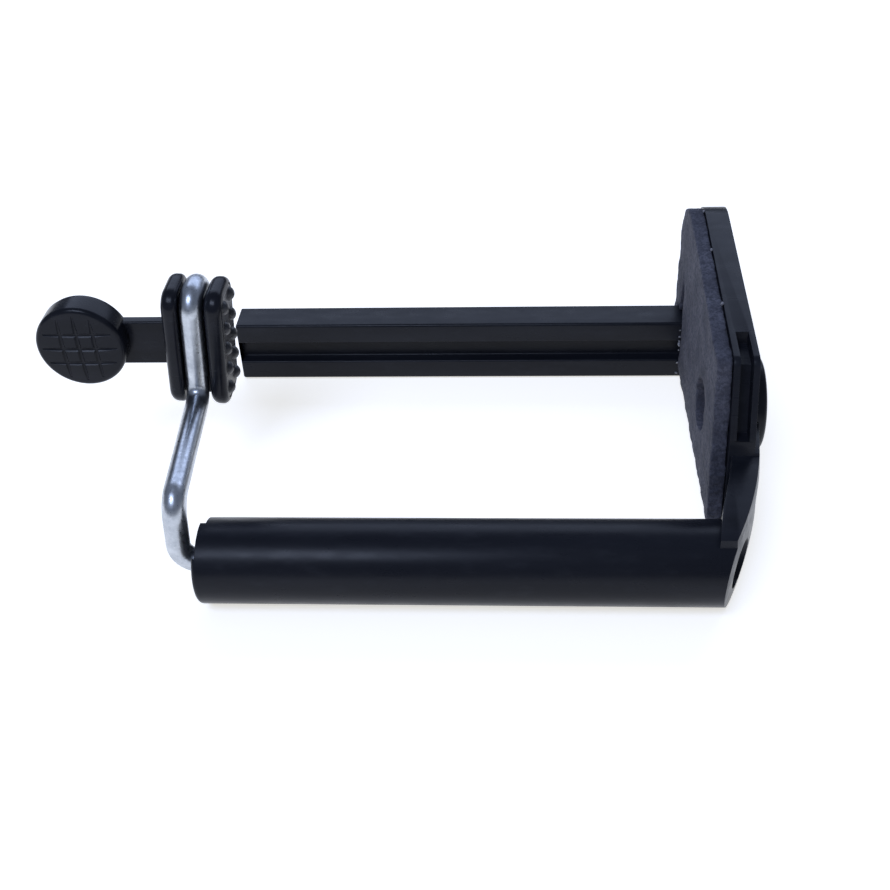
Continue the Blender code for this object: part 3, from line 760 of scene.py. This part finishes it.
def glue_specks():
    """Small beads of adhesive that have squeezed out at the foam's edge and at the bar's foot."""
    random.seed(7)
    foot_x, foot_y = FOAM_FACE + 0.0001, BAR_Y - BAR_WIDTH / 2
    spots = [(foot_x, foot_y - aside, z) for aside, z in GLUE_AT_BAR]
    slope = (PLATE_TOP - PLATE_NEAR_TOP) / (FAR_Y - PLATE_NEAR_Y)
    for y in GLUE_ON_TOP:
        spots.append((PLATE_FACE - 0.0002, y, PLATE_NEAR_TOP + (y - PLATE_NEAR_Y) * slope))
    shape = bmesh.new()
    for spot in spots:
        size = random.uniform(0.00014, 0.00030)
        lengths = [random.uniform(*limits) for limits in ((0.7, 1.3), (0.8, 1.4), (0.6, 1.1))]
        stretch = Matrix.Diagonal((*lengths, 1))
        turn = Matrix.Rotation(random.uniform(0, math.tau), 4, Vector((1, 0.4, 0.2)).normalized())
        place = Matrix.Translation(spot) @ turn @ stretch
        made = bmesh.ops.create_icosphere(shape, subdivisions=3, radius=size, matrix=place)
        for vertex in made["verts"]:
            vertex.co += vertex.normal * noise.noise(vertex.co * 3000) * size * 0.3
    return smooth(from_bmesh("glue_specks", shape), 180)


# ---------------------------------------------------------------- wire and spring

def jaw_matrix():
    return Matrix.Translation(JAW_BOTTOM) @ Matrix.Rotation(JAW_LEAN, 4, "Y")


def wire_route():
    """(point, bend radius) corners of the wire's centre line, from the rod's inner end to its cut end."""
    jaw = jaw_matrix()
    top = CORE_TOP + 0.0003 + WIRE_RADIUS
    return [
        (Vector((ROD_END, 0, 0)), 0),
        (Vector((-0.0019, 0, 0)), WIRE_BEND),
        (Vector((-0.00115, 0, 0.0095)), WIRE_BEND),
        (jaw @ Vector((0, -WIRE_IN_JAW, WIRE_ENTRY)), WIRE_BEND),
        (jaw @ Vector((0, -WIRE_IN_JAW, top)), WIRE_TOP_BEND),
        (jaw @ Vector((0, WIRE_IN_JAW, top)), WIRE_TOP_BEND),
        (jaw @ Vector((0, WIRE_IN_JAW, WIRE_TAIL)), 0),
    ]


def bent_line(corners, steps):
    points = []
    for index, (here, radius) in enumerate(corners):
        if not radius:
            points.append(here)
            continue
        before = (corners[index - 1][0] - here).normalized()
        after = (corners[index + 1][0] - here).normalized()
        half = before.angle(after) / 2
        centre = here + (before + after).normalized() * radius / math.sin(half)
        start = here + before * radius / math.tan(half) - centre
        end = here + after * radius / math.tan(half) - centre
        for step in range(steps + 1):
            points.append(centre + start.slerp(end, step / steps).normalized() * radius)
    return points


def round_wire(name, points, radius, resolution=8, chamfer=0.0):
    """A round wire along points, with its cut ends lightly chamfered."""
    curve = bpy.data.curves.new(name, "CURVE")
    curve.dimensions = "3D"
    curve.bevel_depth = radius
    curve.bevel_resolution = resolution
    curve.use_fill_caps = True
    path = curve.splines.new("POLY")
    if chamfer:
        first = points[0] + (points[1] - points[0]).normalized() * chamfer
        last = points[-1] + (points[-2] - points[-1]).normalized() * chamfer
        points = [points[0], first, *points[1:-1], last, points[-1]]
    path.points.add(len(points) - 1)
    for point, place in zip(path.points, points):
        point.co = (*place, 1)
    if chamfer:
        path.points[0].radius = path.points[-1].radius = 1 - chamfer / radius
    obj = new_object(name, curve)
    bpy.context.view_layer.update()
    mesh = bpy.data.meshes.new_from_object(obj.evaluated_get(bpy.context.evaluated_depsgraph_get()))
    bpy.data.objects.remove(obj, do_unlink=True)
    shape = bmesh.new()
    shape.from_mesh(mesh)
    bmesh.ops.remove_doubles(shape, verts=shape.verts, dist=1e-6)
    bpy.data.meshes.remove(mesh)
    return smooth(from_bmesh(name, shape), 50)


def coil():
    first, last = SPRING_START + SPRING_WIRE / 2, SPRING_END - SPRING_WIRE / 2
    flat = SPRING_WIRE * SPRING_FLAT_TURN
    pitch = (last - first - 2 * flat) / (SPRING_TURNS - 2)
    points = []
    for index in range(SPRING_TURNS * SPRING_POINTS + 1):
        turn = index / SPRING_POINTS
        along = flat * min(turn, 1) + pitch * min(max(turn - 1, 0), SPRING_TURNS - 2)
        along += flat * max(turn - SPRING_TURNS + 1, 0)
        angle = turn * math.tau
        y, z = SPRING_RADIUS * math.cos(angle), SPRING_RADIUS * math.sin(angle)
        points.append(Vector((first + along, y, z)))
    return round_wire("coil_spring", points, SPRING_WIRE / 2, 3)


# ---------------------------------------------------------------- movable jaw

def jaw_outline():
    low, high, half = 0, JAW_HEIGHT, JAW_HALF_WIDTH
    return rounded([
        (-half, low, JAW_CORNER),
        (half, low, JAW_CORNER),
        (half, high, JAW_CORNER),
        (-half, high, JAW_CORNER),
    ])


def pad_outline(margin=0.0):
    half = JAW_HALF_WIDTH - PAD_INSET + margin
    reach = TOOTH_ROWS / 2 * TOOTH_PITCH + margin
    low, high = TOOTH_MIDDLE - reach, TOOTH_MIDDLE + reach
    edge = half / 2
    return rounded([(-half, low, edge), (half, low, edge), (half, high, edge), (-half, high, edge)])


def jaw_shell():
    """Two pebble-edged flanges on a core, with the wire's groove between them."""
    inner, outer = GROOVE_HALF, GROOVE_HALF + RIGHT_FLANGE
    jaw = pillow("jaw_shell", jaw_outline(), -inner - LEFT_FLANGE, -inner, (0.0011, 0.0006), steps=10)
    half = CORE_HALF_WIDTH
    core = [(-half, CORE_BOTTOM), (half, CORE_BOTTOM), (half, CORE_TOP), (-half, CORE_TOP)]
    boolean(jaw, pillow("core", core, -inner - OVERLAP, inner + OVERLAP), "UNION")
    boolean(jaw, pillow("right", jaw_outline(), inner, outer, (0.0012, 0.0009), steps=10), "UNION")
    boolean(jaw, pillow("recess", pad_outline(0.0001), outer - PAD_BASE, outer + CUT))
    jaw.data.transform(jaw_matrix())
    return smooth(jaw, 50)


def tooth_dome(shape, centre, buried):
    """A round tooth that points along X, closed below the pad's face."""
    rings, sides = 9, 24
    bottom = -math.asin(min(1.0, buried / TOOTH_RADIUS))
    last = []
    for ring in range(rings):
        angle = bottom + (math.pi / 2 - bottom) * ring / rings
        x, r = centre.x + TOOTH_RADIUS * math.sin(angle), TOOTH_RADIUS * math.cos(angle)
        turns = [math.tau * side / sides for side in range(sides)]
        here = [shape.verts.new((x, centre.y + r * math.cos(t), centre.z + r * math.sin(t))) for t in turns]
        if last:
            for side in range(sides):
                after = (side + 1) % sides
                shape.faces.new((last[side], last[after], here[after], here[side]))
        else:
            shape.faces.new(here)
        last = here
    tip = shape.verts.new((centre.x + TOOTH_RADIUS, centre.y, centre.z))
    for side in range(sides):
        shape.faces.new((last[side], last[(side + 1) % sides], tip))


def toothed_pad():
    face = GROOVE_HALF + RIGHT_FLANGE
    pad = pillow("toothed_pad", pad_outline(), face - PAD_BASE, face, (0.0001, 0.0002))
    bottom = TOOTH_MIDDLE - (TOOTH_ROWS - 1) / 2 * TOOTH_PITCH
    shape = bmesh.new()
    for row in range(TOOTH_ROWS):
        for y in TOOTH_COLUMNS:
            tooth_dome(shape, Vector((face - TOOTH_SUNK, y, bottom + row * TOOTH_PITCH)), 0.0001)
    boolean(pad, from_bmesh("teeth", shape), "UNION")
    pad.data.transform(jaw_matrix())
    return smooth(pad, 50)


def thumb_tab():
    """A flat arm with a round thumb disc, whose near face is crosshatched."""
    half = ARM_HEIGHT / 2
    lean = half * math.tan(JAW_LEAN)
    back, front = DISC_THICKNESS / 2, -DISC_THICKNESS / 2
    outline = [(DISC_CENTRE.x, -half), (-lean + 0.0002, -half), (lean + 0.0002, half), (DISC_CENTRE.x, half)]
    tab = pillow("thumb_tab", outline, back - ARM_THICKNESS, back - 0.0002, (0.0003, 0.0002), "Y")
    edge = DISC_RADIUS - DISC_EDGE
    profile = [(front, 0.0)]
    for step in range(1, 9):
        share = step / 8
        profile.append((front + DISC_DOME * share ** 2, edge * share))
    corner = front + DISC_DOME + DISC_EDGE
    profile += arc_profile((corner, edge), DISC_EDGE, 180, 90, 8)[1:]
    step_at = back - 0.0009
    profile += [(step_at - 0.0001, DISC_RADIUS), (step_at, DISC_RADIUS - DISC_STEP)]
    profile += arc_profile((back - 0.0004, DISC_RADIUS - DISC_STEP - 0.0004), 0.0004, 90, 0, 5)
    profile += [(back, 0.0)]
    disc = lathe("disc", profile)
    disc.data.transform(Matrix.Translation(DISC_CENTRE) @ Matrix.Rotation(math.pi / 2, 4, "Z"))
    for index in (-1, 0, 1):
        shift = index * DISC_GROOVE_PITCH
        reach = math.sqrt((DISC_RADIUS * 0.84) ** 2 - shift ** 2)
        wedge = [(-DISC_GROOVE_HALF, front - 0.0005), (DISC_GROOVE_HALF, front - 0.0005)]
        wedge += [(u * DISC_GROOVE_HALF, front + DISC_DOME * 0.3 + d * DISC_GROOVE) for u, d in GROOVE_SHAPE]
        upright = [(DISC_CENTRE.x + shift + u, v) for u, v in wedge]
        boolean(disc, pillow("groove", upright, DISC_CENTRE.z - reach, DISC_CENTRE.z + reach, across="Z"))
        level = [(v, DISC_CENTRE.z + shift + u) for u, v in wedge]
        boolean(disc, pillow("groove", level, DISC_CENTRE.x - reach, DISC_CENTRE.x + reach))
    boolean(tab, disc, "UNION")
    tab.data.transform(Matrix.Translation(TAB_ROOT))
    return smooth(tab, 30)


# ---------------------------------------------------------------- the object

def dress_inner_nodes():
    """The small inner pieces keep their CAD shapes and get real finishes."""
    steel = turned_metal("drawn_steel", (0.36, 0.37, 0.39), (0.50, 0.51, 0.53), (0.22, 0.38))
    looks = {
        "guide_bush": natural_nylon(),
        "spring_seat_washer": steel,
        "thrust_washer": steel,
        "rod_retainer": steel,
        "foam_adhesive": foam_film(),
    }
    for node, look in looks.items():
        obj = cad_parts[node]
        obj.data.materials.clear()
        obj.data.materials.append(look)


def build():
    dark, light = (0.0075, 0.0085, 0.0125), (0.012, 0.0135, 0.019)
    frame_plastic = moulded_plastic("frame_plastic", dark, light, (0.26, 0.38))
    dark, light = (0.006, 0.007, 0.010), (0.010, 0.011, 0.016)
    jaw_plastic = moulded_plastic("jaw_plastic", dark, light, (0.18, 0.30), 0.12)
    placed(tube_shell(), "frame", frame_plastic, "frame_plastic", "spring_tube")
    placed(plate_shell(), "frame", frame_plastic, "frame_plastic", "fixed_jaw_plate")
    placed(bar_rail(), "frame", frame_plastic, "frame_plastic", "side_bar")
    brass = turned_metal("turned_brass", (0.42, 0.27, 0.09), (0.62, 0.44, 0.18), (0.2, 0.38))
    placed(threaded_insert(), "frame", brass, "brass", "tripod_insert")
    foam = placed(foam_sheet(), "frame", foam_look(), "foam", "foam_pad")
    placed(glue_specks(), "frame", dried_glue(), "adhesive_film")
    spring_steel = turned_metal("spring_steel", (0.34, 0.35, 0.37), (0.50, 0.51, 0.54), (0.2, 0.34))
    spring = placed(coil(), "frame", spring_steel, "spring_steel", "compression_spring")
    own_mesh(spring)
    wire = round_wire("bent_wire", bent_line(wire_route(), 16), WIRE_RADIUS, 10, 0.0004)
    placed(wire, "wire_jaw", zinc_wire(), "zinc_wire", "wire_arm")
    placed(jaw_shell(), "wire_jaw", jaw_plastic, "jaw_plastic", "jaw_body")
    placed(toothed_pad(), "wire_jaw", soft_rubber(), "pad_rubber", "tooth_pad")
    placed(thumb_tab(), "wire_jaw", jaw_plastic, "jaw_plastic", "pull_tab")
    dress_inner_nodes()


# ---------------------------------------------------------------- stage, light and camera

def floor():
    size = 3.0
    mesh = bpy.data.meshes.new("floor")
    z = ORIGIN.z + REST_Z - 0.0002
    corners = [(-size, -size, z), (size, -size, z), (size, size, z), (-size, size, z)]
    mesh.from_pydata(corners, [], [(0, 1, 2, 3)])
    made = Nodes("pale_floor")
    grain = made.noise(0.02, 3.0)
    colour = made.ramp(grain, [(0.3, (0.93, 0.93, 0.94)), (0.7, (0.95, 0.95, 0.955))])
    white = (1.0, 0.98, 0.92, 1.0)
    mesh.materials.append(made.finish(colour, Roughness=0.9, Emission_Color=white, Emission_Strength=0.66))
    new_object("floor", mesh)


def panel(name, place, target, width, height, power, colour):
    light = bpy.data.lights.new(name, "AREA")
    light.shape = "RECTANGLE"
    light.size, light.size_y = width, height
    light.energy = power
    light.color = colour
    obj = new_object(name, light)
    obj.location = place
    obj.rotation_euler = (target - obj.location).to_track_quat("-Z", "Y").to_euler()
    return obj


def lights():
    middle = Vector((0, 0, 0.01))
    cool = (0.64, 0.74, 1.0)
    panel("key", Vector((-0.20, -0.42, 0.66)), middle, 0.34, 0.26, 2.6, cool)
    panel("back", Vector((0.05, 0.75, 0.62)), middle, 1.3, 0.55, 4.2, cool)
    world = bpy.data.worlds.new("studio")
    world.use_nodes = True
    world.node_tree.nodes["Background"].inputs["Color"].default_value = (0.66, 0.76, 1.0, 1.0)
    world.node_tree.nodes["Background"].inputs["Strength"].default_value = 0.24
    bpy.context.scene.world = world


def camera():
    data = bpy.data.cameras.new("camera")
    data.sensor_width = 36
    data.lens = 48.5
    data.clip_start, data.clip_end = 0.01, 10
    obj = new_object("camera", data)
    turn = Matrix.Rotation(math.radians(4.56), 4, "Z") @ Matrix.Rotation(math.radians(90 - 38.21), 4, "X")
    turn = turn @ Matrix.Rotation(math.radians(-2.84), 4, "Z")
    obj.matrix_world = Matrix.Translation(ORIGIN + Vector((0.0407, -0.1074, 0.1032))) @ turn
    bpy.context.scene.camera = obj


build()
floor()
lights()
camera()
bpy.context.scene.view_settings.view_transform = "Standard"
